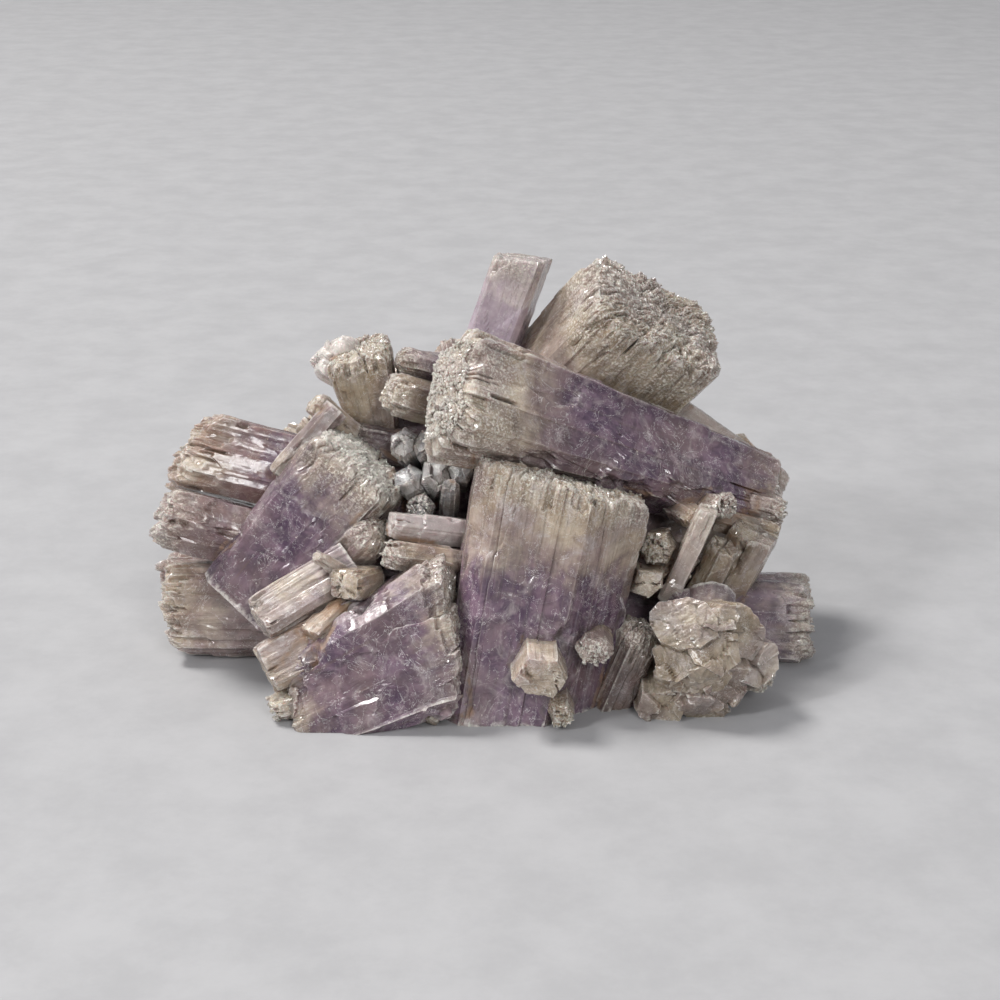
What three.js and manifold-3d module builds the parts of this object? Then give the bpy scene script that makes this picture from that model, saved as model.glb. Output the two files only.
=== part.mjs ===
// Purple aragonite cluster: a hand-sized group of intergrown pseudo-hexagonal crystals.
//
// Every crystal is a bundle of parallel columns. It runs from its foot, deep in the cluster, to its
// tip, and its columns end at different heights, which gives the ribbed sides and the stepped ends.
// Crystals that overlap are joined in one solid, and each solid is one node. Where two nodes meet,
// the one that comes first in NODES keeps its shape and the later one ends against it at a seam.
//
// Units are millimetres, +Z is up and the cluster stands on z = 0. -Y is the front.

import * as THREE from "three";
import { mergeVertices } from "three/addons/utils/BufferGeometryUtils.js";
import Module from "manifold-3d";

const wasm = await Module();
wasm.setup();

const SEAM = 0.3; // gap between two nodes that meet
const FLOOR = 0; // height at which the lowest crystals are worn flat
const CENTRE = [-2.1, 2.9]; // middle of the cluster's outline, in the coordinates of the table
const RECESS = 0.035; // deepest set-back of a column's side, as a share of the crystal's width
const OVERLAP = 1.06; // a column is this much wider than its cell, so that neighbours join
const CORE = 0.86; // share of the section filled by the one prism at the crystal's heart

// Outlines of a crystal's section, anticlockwise, in halves of its width (u) and depth (v).
// +v is the face that the crystal's face direction points to.
const SECTIONS = {
  hexagon: [[-1, 0], [-0.52, -1], [0.5, -1], [1, 0], [0.52, 1], [-0.48, 1]],
  block: [[-1, -0.7], [-0.7, -1], [0.8, -1], [1, -0.8], [1, 0.6], [0.72, 1], [-0.8, 1], [-1, 0.62]],
  bevel: [[-1, -0.7], [-0.7, -1], [0.8, -1], [1, -0.8], [1, 0.6], [0.72, 1], [-0.3, 1], [-1, 0.2]],
  wedge: [[-1, -0.9], [0.4, -1], [1, 0.1], [0.7, 1], [-0.9, 0.8]],
};

// One crystal. cut tilts an end: [across the width, across the depth], in mm at the section's edge.
// step is the unevenness of the ends and dome the rounding of their rim, in mm. flare is the width
// at the tip as a share of the width at the foot.
function crystal(foot, tip, face, width, depth, more = {}) {
  return {
    foot, tip, face, width, depth,
    section: "hexagon", columns: 1, step: 0, dome: 0, flare: 1, tipCut: [0, 0], footCut: [0, 0],
    ...more,
  };
}

const FRONT = [0, -1, 0.2];
const UP = [0, 0.2, 1];

const NODES = {
  front_block: [
    crystal([1.7, -13, -3], [7.7, -6.8, 27.1], FRONT, 19.4, 14,
      { section: "bevel", columns: 8, step: 1.2, dome: 0.4, flare: 1.1, tipCut: [1.25, 0] }),
    crystal([4.6, -15, 7.8], [4.6, -22.3, 7.2], UP, 6.2, 5.8, { columns: 3, step: 0.5 }),
    crystal([6.6, -14, 2.4], [6.6, -21, 1.4], UP, 4, 3.6),
    crystal([10.6, -12, 9], [10.6, -19.5, 8.4], UP, 5.4, 3.2),
    crystal([-2.6, -12, 2.5], [-3.1, -19, 1.2], UP, 5, 3.6),
  ],
  front_left_slab: [
    crystal([-25.6, -16.6, -0.2], [-1.1, -12.9, 11.2], [0.1, -0.93, 0.35], 11.8, 8,
      { section: "block", columns: 6, step: 1.4, dome: 0.4, flare: 1.69, tipCut: [3.4, 0],
        footCut: [-1.6, 0] }),
    crystal([-5.6, -15, 3.5], [-8, -19.3, 0.2], FRONT, 3.2, 2.8),
    crystal([-3, -8, 15], [-13.6, -12.4, 18.2], [0.2, -0.7, 0.7], 4.4, 4.6, { columns: 2, step: 0.6 }),
    crystal([-3, -6, 18], [-12.8, -9.6, 21], UP, 3.4, 3.4),
    crystal([-17, -15, 3.4], [-26.4, -17.8, 1.4], FRONT, 4.4, 4.4, { columns: 2, step: 0.6 }),
    crystal([-15, -12, 10.4], [-26.8, -16.4, 5.4], [0, -0.8, 0.4], 6.6, 6,
      { section: "block", columns: 3, step: 0.8 }),
  ],
  long_crystal: [
    crystal([33.6, 9.5, 16.4], [-7.3, -8.4, 36.5], [0.2, -0.75, 0.6], 10, 7.6,
      { section: "block", columns: 7, step: 1.6, dome: 2.4, flare: 1.5 }),
    crystal([34.6, 13.4, 15], [14, 9, 31], [0.2, -0.75, 0.6], 9, 8, { columns: 3, step: 1.2 }),
    crystal([28, 5, 17.6], [35, 3, 16.8], UP, 4.6, 4.4),
    crystal([26, 3, 16.6], [33.6, 1.2, 14.8], UP, 4.2, 3.6),
    crystal([24, 3, 18.6], [26.6, -4.2, 20.6], UP, 5, 3.8, { columns: 2, step: 0.5 }),
    crystal([21, 1, 18.6], [23, -6, 19.6], UP, 4, 3.2),
  ],
  top_block: [
    crystal([3.8, 18.1, 20.6], [19.2, 8, 40.6], [0.03, -0.88, -0.47], 19.2, 14,
      { section: "block", columns: 8, step: 1.4, dome: 1.2 }),
  ],
  left_fan: [
    crystal([-10, 7.6, 16], [-39.8, 3.8, 25.6], [-0.2, -0.8, 0.55], 10, 10.6,
      { section: "block", columns: 6, step: 1.4, dome: 0.4, tipCut: [1.6, 0] }),
    crystal([-15, 2.4, 10], [-40.6, -2, 19], [0, -0.7, 0.7], 8.4, 9.6,
      { columns: 4, step: 1, dome: 0.4 }),
    crystal([-14, 4, 5], [-42.8, 2.2, 6], [0, -1, 0.1], 11.8, 12,
      { section: "block", columns: 5, step: 1.6, dome: 0.4, tipCut: [-1.6, 0] }),
  ],
  centre_left_crystal: [
    crystal([-30.4, -3.1, 8.6], [-14.8, -0.9, 26.4], [-0.1, -0.93, 0.35], 10.8, 10,
      { section: "block", columns: 6, step: 1.4, dome: 1.2, flare: 1.25 }),
    crystal([-22.4, -3, 9], [-13.2, -8.6, 20.4], [0, -0.8, 0.6], 6, 6, { columns: 2, step: 0.8 }),
    crystal([-19, 1, 31], [-26.2, -2.6, 23.6], FRONT, 3.4, 3.2),
    crystal([-17.6, 3, 27], [-22.2, 1.8, 31.6], FRONT, 4, 3.6),
    crystal([-17, -9, 15.2], [-27.4, -14.6, 10.6], [0, -0.7, 0.7], 6, 5.4,
      { section: "block", columns: 2, step: 0.6 }),
    crystal([-17, -12, 12.2], [-21.2, -17, 9.6], UP, 3.6, 3.4, { section: "block" }),
    crystal([-16, -10, 13.4], [-20.8, -14, 18.8], FRONT, 2.4, 2.4),
    crystal([-15, -9, 13.8], [-17.6, -15.2, 15.4], UP, 4.4, 3.8, { section: "block" }),
  ],
  lower_right_rosette: [
    crystal([23.4, -6, 6], [22, -19.4, 7.8], UP, 11.6, 15.6, { columns: 4, step: 1, dome: 0.6 }),
    crystal([24.6, -6, 7], [26.4, -16.8, 9], [0.4, 0, 1], 9, 9.4, { columns: 2, step: 0.8 }),
    crystal([27.6, -6, 4.6], [29.8, -16.8, 5.6], [0.3, 0, 1], 7, 9, { columns: 2, step: 0.6 }),
    crystal([18.4, -8, 2.6], [18.2, -18.2, 1.8], UP, 6.4, 5),
    crystal([23, -8, 2], [23.2, -17.4, 1.2], UP, 6.6, 4.6),
  ],
  lower_dark_crystal: [
    crystal([11.6, -12.4, -3], [16.6, -11.4, 9.6], [0.2, -1, 0.1], 6.8, 7,
      { columns: 3, step: 0.8 }),
  ],
  right_side_crystal: [
    crystal([12, 4, 4.4], [38.4, 1, 4], FRONT, 10.4, 10,
      { section: "block", columns: 5, step: 1.6, dome: 0.4 }),
  ],
  right_prisms: [
    crystal([18, 4, 7], [20.4, -5, 15], [0, 0.4, 1], 8, 6),
    crystal([19.6, -6.2, 10], [24, -7.2, 21.8], FRONT, 3, 3, { section: "block" }),
    crystal([22.6, -2, 6], [26.4, -3.6, 16], [0.3, -1, 0.3], 4.6, 4.6),
    crystal([25.6, 1, 5], [30.4, -0.6, 16.6], [0.3, -1, 0.3], 7, 6, { columns: 2, step: 0.6 }),
    crystal([17, -4, 12.6], [16.8, -11.4, 13.8], UP, 3.8, 3.8, { section: "block" }),
    crystal([19, -2, 15.4], [17.6, -9.2, 17.2], UP, 5, 4.2),
  ],
  pale_upright_crystal: [
    crystal([-6.6, 12, 20], [3.2, 14, 47], [-0.2, -1, 0.3], 6.2, 6,
      { section: "block", columns: 2, step: 0.4, flare: 1.1, tipCut: [-0.9, 0] }),
    crystal([-6, 10, 28], [-4.6, 9, 36.6], FRONT, 3.6, 3.4),
  ],
  upper_left_crystals: [
    crystal([-14.8, 8.4, 25.4], [-17.1, 8, 37.2], FRONT, 6.2, 7,
      { section: "block", columns: 4, step: 0.8, dome: 0.4, flare: 1.5 }),
    crystal([-2, 9, 22], [-20, 6.4, 26], FRONT, 8, 8, { columns: 2, step: 0.8 }),
    crystal([-17.6, 9, 33], [-19.8, 8.8, 38.2], FRONT, 5, 4.4),
    crystal([-15, 9, 31], [-22.6, 8.6, 35.4], FRONT, 5.2, 5, { columns: 2, step: 0.4 }),
    crystal([-3, 4.6, 28.8], [-14, 0.2, 33.6], [0, -0.9, 0.4], 5.8, 5.4, { columns: 2, step: 0.5 }),
    crystal([-1, 7, 32], [-12.8, 5, 36.2], [0, -0.9, 0.4], 3.8, 5.4),
    crystal([-1, 11, 32], [-13.4, 11, 33.6], FRONT, 3.8, 6, { section: "wedge" }),
  ],
  rear_top_crystal: [
    crystal([-1, 4, 20], [-5, 25.6, 28.6], [0, 0.3, 1], 16, 14,
      { columns: 4, step: 1.4, dome: 1.2 }),
    crystal([-8, 16, 25], [-14.4, 23, 28.4], [0.4, 0.4, 1], 5, 4.6),
    crystal([-2, 19, 28], [0.8, 23.4, 33], [1, 0, 0], 4.4, 4),
  ],
  rear_right_block: [
    crystal([4, 4, 11], [27.6, 19.4, 13], [0.4, 0.5, 0.7], 17.4, 15,
      { section: "block", columns: 5, step: 1.4, dome: 0.8 }),
    crystal([4, 8, 16], [15, 25, 21.6], [0.2, 0.2, 1], 13, 12, { columns: 3, step: 1 }),
    crystal([20, 10, 16], [31.6, 15.6, 21.4], [0, 0.4, 1], 6, 5.4, { columns: 2, step: 0.6 }),
    crystal([20, 8, 6], [29, 18, 4], [0, 0.2, 1], 8, 7, { section: "wedge" }),
  ],
  rear_left_block: [
    crystal([-6, 4, 14], [-26.6, 18.6, 16.6], [-0.4, 0.6, 0.7], 17, 14,
      { section: "block", columns: 4, step: 1.4, dome: 0.8 }),
    crystal([-16, 10, 18], [-24, 14.4, 25.6], [-0.6, 0.8, 0], 5.6, 5.2),
    crystal([-20, 14, 8], [-31, 15.8, 7.4], [0, 1, 0], 7, 6.4, { columns: 2, step: 0.6 }),
  ],
  rear_low_right_block: [
    crystal([4, -4, 6], [12.6, 26.4, 5.2], [0.2, 0, 1], 17, 13,
      { section: "block", columns: 4, step: 1.4, dome: 0.6 }),
    crystal([10, 16, 10], [17.4, 25, 14], [0, 0, 1], 6, 5.4),
  ],
  rear_low_left_block: [
    crystal([-6, -5, 6], [-13, 25, 5.6], [-0.2, 0, 1], 17, 13.4,
      { columns: 4, step: 1.4, dome: 0.8 }),
    crystal([-4, 16, 6], [-0.6, 26.8, 9.6], [0, 0, 1], 5.6, 5.4),
  ],
  grey_druse: [
    crystal([-10, 4, 24], [-11.6, -1.6, 28], FRONT, 4, 4),
    crystal([-8, 4, 24], [-8.4, -2.6, 28], FRONT, 4.4, 4),
    crystal([-6, 4, 25], [-5.2, -2.6, 28.6], FRONT, 4, 4),
    crystal([-8, 2, 21], [-7, -4.6, 25.4], FRONT, 4.4, 4),
    crystal([-10, 2, 21], [-11, -4, 24], FRONT, 4.4, 4),
    crystal([-4.6, 1, 22], [-4.4, -4.6, 26], FRONT, 3.6, 3.4),
    crystal([-9, 1, 18], [-9.4, -5.6, 21.4], FRONT, 4, 3.8),
    crystal([-6, -1, 17], [-5.6, -5.4, 24.4], FRONT, 3, 2.6),
  ],
};

const COLOURS = {
  front_block: 0x9c8d93, front_left_slab: 0x9384a0, long_crystal: 0x8c7b92, top_block: 0x9c9080,
  grey_druse: 0x8b9298, pale_upright_crystal: 0xc3adc0,
};
const BASE_COLOUR = 0x9b8d90;

// A repeatable stream of numbers from 0 to 1.
function stream(seed) {
  let state = seed;
  return () => {
    state = (state + 0x6d2b79f5) | 0;
    let t = Math.imul(state ^ (state >>> 15), 1 | state);
    t = (t + Math.imul(t ^ (t >>> 7), 61 | t)) ^ t;
    return ((t ^ (t >>> 14)) >>> 0) / 4294967296;
  };
}

// The part of a convex polygon on the near side of a line through point, whose normal points away.
function clip(polygon, point, normal) {
  const side = (p) => (p[0] - point[0]) * normal[0] + (p[1] - point[1]) * normal[1];
  const kept = [];
  polygon.forEach((p, i) => {
    const q = polygon[(i + 1) % polygon.length];
    const a = side(p);
    const b = side(q);
    if (a <= 0) kept.push(p);
    if (a < 0 !== b < 0) {
      const t = a / (a - b);
      kept.push([p[0] + t * (q[0] - p[0]), p[1] + t * (q[1] - p[1])]);
    }
  });
  return kept;
}

// The section's outline in mm, grown outwards by margin.
function outline(c, margin = 0) {
  return SECTIONS[c.section].map(([u, v]) => [
    u * (c.width / 2 + margin * Math.SQRT2),
    v * (c.depth / 2 + margin * Math.SQRT2),
  ]);
}

// Column centres spread over the section: each is the best of a few tries, furthest from the others.
function spread(c, random) {
  const centres = [];
  while (centres.length < c.columns) {
    let best = null;
    let bestGap = -1;
    for (let i = 0; i < 12; i++) {
      const p = [(random() * 1.8 - 0.9) * (c.width / 2), (random() * 1.8 - 0.9) * (c.depth / 2)];
      const gap = Math.min(1e9, ...centres.map((q) => Math.hypot(p[0] - q[0], p[1] - q[1])));
      if (gap > bestGap) [best, bestGap] = [p, gap];
    }
    centres.push(best);
  }
  return centres;
}

// The outline of one column: the part of the section nearest to its centre.
function cell(centre, centres, shape) {
  let polygon = shape;
  for (const other of centres) {
    if (other === centre) continue;
    const middle = [(centre[0] + other[0]) / 2, (centre[1] + other[1]) / 2];
    const normal = [other[0] - centre[0], other[1] - centre[1]];
    polygon = clip(polygon, middle, normal);
  }
  return polygon;
}

function scaled(polygon, share) {
  const x = polygon.reduce((s, p) => s + p[0], 0) / polygon.length;
  const y = polygon.reduce((s, p) => s + p[1], 0) / polygon.length;
  return polygon.map((p) => [x + (p[0] - x) * share, y + (p[1] - y) * share]);
}

// A three.js geometry as a manifold-3d solid.
function solidOf(geometry) {
  geometry.deleteAttribute("normal");
  geometry.deleteAttribute("uv");
  const merged = mergeVertices(geometry, 1e-5);
  return new wasm.Manifold(new wasm.Mesh({
    numProp: 3,
    vertProperties: new Float32Array(merged.attributes.position.array),
    triVerts: new Uint32Array(merged.index.array),
  }));
}

// A straight prism on a polygon of the section, from one height to another along the crystal.
function prism(c, polygon, low, high) {
  const shape = new THREE.Shape(polygon.map((p) => new THREE.Vector2(...p)));
  const geometry = new THREE.ExtrudeGeometry(shape, { depth: high - low, bevelEnabled: false });
  const foot = new THREE.Vector3(...c.foot);
  const along = new THREE.Vector3(...c.tip).sub(foot).normalize();
  const face = new THREE.Vector3(...c.face);
  face.addScaledVector(along, -face.dot(along)).normalize();
  const across = new THREE.Vector3().crossVectors(face, along);
  const place = new THREE.Matrix4().makeBasis(across, face, along).setPosition(foot);
  geometry.translate(0, 0, low);
  const points = geometry.attributes.position;
  for (let i = 0; i < points.count; i++) {
    const share = 1 + (c.flare - 1) * (points.getZ(i) / lengthOf(c));
    points.setX(i, points.getX(i) * share);
    points.setY(i, points.getY(i) * share);
  }
  return solidOf(geometry.applyMatrix4(place));
}

function lengthOf(c) {
  return Math.hypot(...c.tip.map((value, i) => value - c.foot[i]));
}

// How far a column at this centre stops short of the end, for an end that is tilted and domed.
function setBack(c, cut, [x, y]) {
  const u = x / (c.width / 2);
  const v = y / (c.depth / 2);
  const tilt = Math.abs(cut[0]) + Math.abs(cut[1]) - cut[0] * u - cut[1] * v;
  return tilt + c.dome * (u * u + v * v);
}

// The whole crystal: its heart and its columns, all inside its envelope.
function bundle(c, seed) {
  const length = lengthOf(c);
  if (c.columns === 1) return prism(c, outline(c), 0, length);
  const random = stream(seed);
  const centres = spread(c, random);
  const pieces = [];
  const tallest = Math.max(...centres.map((p) => setBack(c, c.tipCut, p)));
  const deepest = Math.max(...centres.map((p) => setBack(c, c.footCut, p)));
  const heart = scaled(outline(c), CORE);
  pieces.push(prism(c, heart, deepest + c.step, length - tallest - c.step));
  for (const centre of centres) {
    const recess = -random() * RECESS * c.width;
    const column = scaled(cell(centre, centres, outline(c)), OVERLAP);
    let inside = column;
    const limit = outline(c, recess);
    limit.forEach((p, i) => {
      const q = limit[(i + 1) % limit.length];
      inside = clip(inside, p, [q[1] - p[1], p[0] - q[0]]);
    });
    if (inside.length < 3) continue;
    const low = setBack(c, c.footCut, centre) + random() * c.step;
    const high = length - setBack(c, c.tipCut, centre) - random() * c.step;
    pieces.push(prism(c, inside, low, high));
  }
  return wasm.Manifold.union(pieces);
}

// What a later node has to stay out of: the crystal's outline with the seam around it.
function envelope(c) {
  return prism(c, outline(c, SEAM), -SEAM, lengthOf(c) + SEAM);
}

function largest(solid) {
  return solid.decompose().reduce((a, b) => (b.volume() > a.volume() ? b : a));
}

function meshOf(solid, name) {
  const { vertProperties, numProp, triVerts } = solid.getMesh();
  const points = new Float32Array((vertProperties.length / numProp) * 3);
  for (let i = 0; i < points.length / 3; i++) {
    points.set(vertProperties.subarray(i * numProp, i * numProp + 3), i * 3);
  }
  const geometry = new THREE.BufferGeometry();
  geometry.setAttribute("position", new THREE.BufferAttribute(points, 3));
  geometry.setIndex(new THREE.BufferAttribute(triVerts, 1));
  geometry.translate(-CENTRE[0], -CENTRE[1], -FLOOR);
  geometry.computeVertexNormals();
  const material = new THREE.MeshStandardMaterial({
    color: COLOURS[name] ?? BASE_COLOUR,
    roughness: 0.45,
    metalness: 0,
  });
  const mesh = new THREE.Mesh(geometry, material);
  mesh.name = name;
  return mesh;
}

const cluster = new THREE.Group();
cluster.name = "aragonite_cluster";
const taken = [];
let seed = 1;
for (const [name, crystals] of Object.entries(NODES)) {
  const grown = wasm.Manifold.union(crystals.map((c) => bundle(c, seed++)));
  const free = taken.length ? grown.subtract(wasm.Manifold.union(taken)) : grown;
  const standing = free.trimByPlane([0, 0, 1], FLOOR);
  cluster.add(meshOf(largest(standing), name));
  taken.push(...crystals.map(envelope));
}

export default cluster;
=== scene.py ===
"""Purple aragonite cluster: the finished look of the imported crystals.

Each CAD node is replaced by one mesh. Most crystals keep the axis, width and depth they have in the CAD
model. The rosette has more and thinner plates, most of the druse's crystals are a little wider or
turned, and one small crystal each in front_block, front_left_slab and right_prisms is a little larger.

A crystal is a prism whose skin is worked in relief: ribs along its sides, slots running down from its
ends, and ends broken into blocks, columns and wavy lamellae. Lengths are in millimetres until new_mesh,
which turns them into metres.
"""

import math
import random

import bpy
import numpy as np
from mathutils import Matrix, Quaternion, Vector


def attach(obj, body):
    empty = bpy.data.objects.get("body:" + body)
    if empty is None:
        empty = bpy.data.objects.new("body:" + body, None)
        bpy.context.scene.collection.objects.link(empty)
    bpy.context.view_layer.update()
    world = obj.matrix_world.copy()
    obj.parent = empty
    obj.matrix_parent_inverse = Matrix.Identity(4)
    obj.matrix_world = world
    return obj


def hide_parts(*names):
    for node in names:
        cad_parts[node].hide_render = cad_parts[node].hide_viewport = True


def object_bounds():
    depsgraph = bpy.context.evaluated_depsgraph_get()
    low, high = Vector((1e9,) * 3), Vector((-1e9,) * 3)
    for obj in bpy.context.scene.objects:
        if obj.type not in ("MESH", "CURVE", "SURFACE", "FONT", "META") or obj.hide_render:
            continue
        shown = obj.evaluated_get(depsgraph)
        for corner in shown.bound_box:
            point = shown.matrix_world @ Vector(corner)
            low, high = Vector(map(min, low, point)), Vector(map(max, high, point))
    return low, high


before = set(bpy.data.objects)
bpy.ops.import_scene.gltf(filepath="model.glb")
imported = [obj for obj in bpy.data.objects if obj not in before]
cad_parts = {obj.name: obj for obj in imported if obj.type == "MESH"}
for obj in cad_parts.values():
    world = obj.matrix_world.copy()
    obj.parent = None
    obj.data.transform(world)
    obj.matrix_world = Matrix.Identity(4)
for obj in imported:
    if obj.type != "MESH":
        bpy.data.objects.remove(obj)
cad_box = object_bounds()

MM = 0.001
CENTRE = (-2.1, 2.9)
FRONT = (0, -1, 0.2)
UP = (0, 0.2, 1)

SECTIONS = {
    "hexagon": [(-1, 0), (-0.52, -1), (0.5, -1), (1, 0), (0.52, 1), (-0.48, 1)],
    "block": [(-1, -0.7), (-0.7, -1), (0.8, -1), (1, -0.8), (1, 0.6), (0.72, 1), (-0.8, 1), (-1, 0.62)],
    "bevel": [(-1, -0.7), (-0.7, -1), (0.8, -1), (1, -0.8), (1, 0.6), (0.72, 1), (-0.3, 1), (-1, 0.2)],
    "wedge": [(-1, -0.9), (0.4, -1), (1, 0.1), (0.7, 1), (-0.9, 0.8)],
    "shard": [(-1, -0.5), (-0.35, -1), (0.7, -0.85), (1, 0.15), (0.35, 1), (-0.75, 0.7)],
    "scallop": [(-0.95, -0.3), (-0.6, -0.85), (-0.05, -1), (0.55, -0.85), (1, -0.3), (0.9, 0.35),
                (0.5, 0.9), (-0.1, 1), (-0.7, 0.75), (-1, 0.2)],
}

GRAIN = [(-1, -0.6), (-0.3, -1), (1, -0.7), (0.9, 0.8), (-0.7, 1)]

DEFAULTS = dict(
    section="hexagon",
    flare=1.0,  # width at the tip as a share of the width at the foot
    tip_cut=(0, 0),
    foot_cut=(0, 0),
    mesh=0.26,  # distance between points across the crystal
    along=0.6,  # distance between points along it
    block=3.2,  # width of the coarse blocks that an end is broken in
    step=0.8,  # unevenness of the blocks
    crack=0.5,  # share of the blocks that are parted from their neighbours
    cell=0.75,  # width of the fine columns that show on an end
    relief=0.3,  # unevenness of the fine columns
    wave=0.22,  # height of the wavy lamellae on an end
    comb=0.0,  # direction of those lamellae, as an angle about the axis
    curl=0.9,  # how far they wander
    dome=0.8,  # how far the rim of an end is set back
    thatch=1.2,  # how unevenly the lamellae on the sides stop at the rim
    rib=1.3,  # width of the lamellae on the sides
    reach=9.0,  # their length
    skin=0.2,  # their thickness
    fibre=0.03,  # height of the finest unevenness of the sides
    swell=0.2,  # slow undulation of the sides
    bend=0.15,  # waviness of the lamellae's edges
    slots=4,  # open slots that run down from an end
    slot=5.0,  # their length
    chips=5,  # places where an edge is broken off
    grains=0.0,  # loose grains for each square millimetre of an end
    grain=0.24,  # radius of a grain
    foot_open=False,  # the foot is in the open too
    tan_tip=5.0,  # length of the tan zone at the tip
    tan_foot=-5.0,  # the same at the foot; below 0 there is none
    purple=1.0,  # strength of the purple between the tan zones
    light=0.0,  # above 0 towards white, below 0 darker
    pale_tip=0.0,  # added to light at the tip
    warm=0.0,  # iron stain all over the crystal
    glassy=0.0,  # mm: above 0 clears the end of sugary grains and their painted glints, below 0 spreads them down the sides
    buried=False,  # leaves no seam on its neighbours, because its end lies just under their face
    clean=0.0,  # raised where no grime and no painted shade darken the seam between the crystal and its neighbours
)


def crystal(foot, tip, face, width, depth, **more):
    c = dict(DEFAULTS, foot=Vector(foot), tip=Vector(tip), width=width, depth=depth)
    c.update(more)
    for key in ("foot", "tip"):
        c[key] = c[key] - Vector((*CENTRE, 0))
    along = c["tip"] - c["foot"]
    c["length"] = along.length
    along.normalize()
    face = Vector(face)
    face = (face - along * face.dot(along)).normalized()
    c["axes"] = np.array([face.cross(along), face, along])
    return c


def small(foot, tip, face, width, depth, **more):
    """A small crystal with plainer relief."""
    base = dict(
        mesh=0.24, along=0.45, block=2.4, step=0.3, cell=1.2, relief=0.1, wave=0.08, dome=0.35, thatch=0.5,
        rib=1.6, reach=8, skin=0.08, fibre=0.01, swell=0.35, slots=1, slot=3, chips=3, tan_tip=9.0,
        grains=0.04, glassy=3,
    )
    base.update(more)
    return crystal(foot, tip, face, width, depth, **base)


PLATE = dict(section="scallop", block=3, step=0.5, crack=0, cell=1.6, relief=0.07, wave=0.13, dome=0.15,
             curl=0.4, slots=0, rib=2.4, thatch=0.1, chips=2, clean=1.2, grains=0.02, glassy=9)
SHARD = dict(PLATE, section="shard", block=2.6, step=0.9, dome=0.05, cell=2, relief=0.04)
ROUGH = dict(step=0.6, cell=0.7, relief=0.24, wave=0.15, dome=0.8, thatch=0.8, grains=1.5, slots=2, glassy=0)
SUGAR = dict(cell=0.55, relief=0.26, wave=0.2, grains=5, grain=0.25)
LUMP = dict(step=0.8, block=2, crack=0, cell=1.2, relief=0.1, wave=0.03, dome=1.3, thatch=0.2, slots=0,
            clean=1, glassy=6)
REAR = dict(mesh=0.38, along=0.85, cell=1.1, relief=0.26, crack=0.1, slots=9, thatch=2, rib=1)

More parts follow.
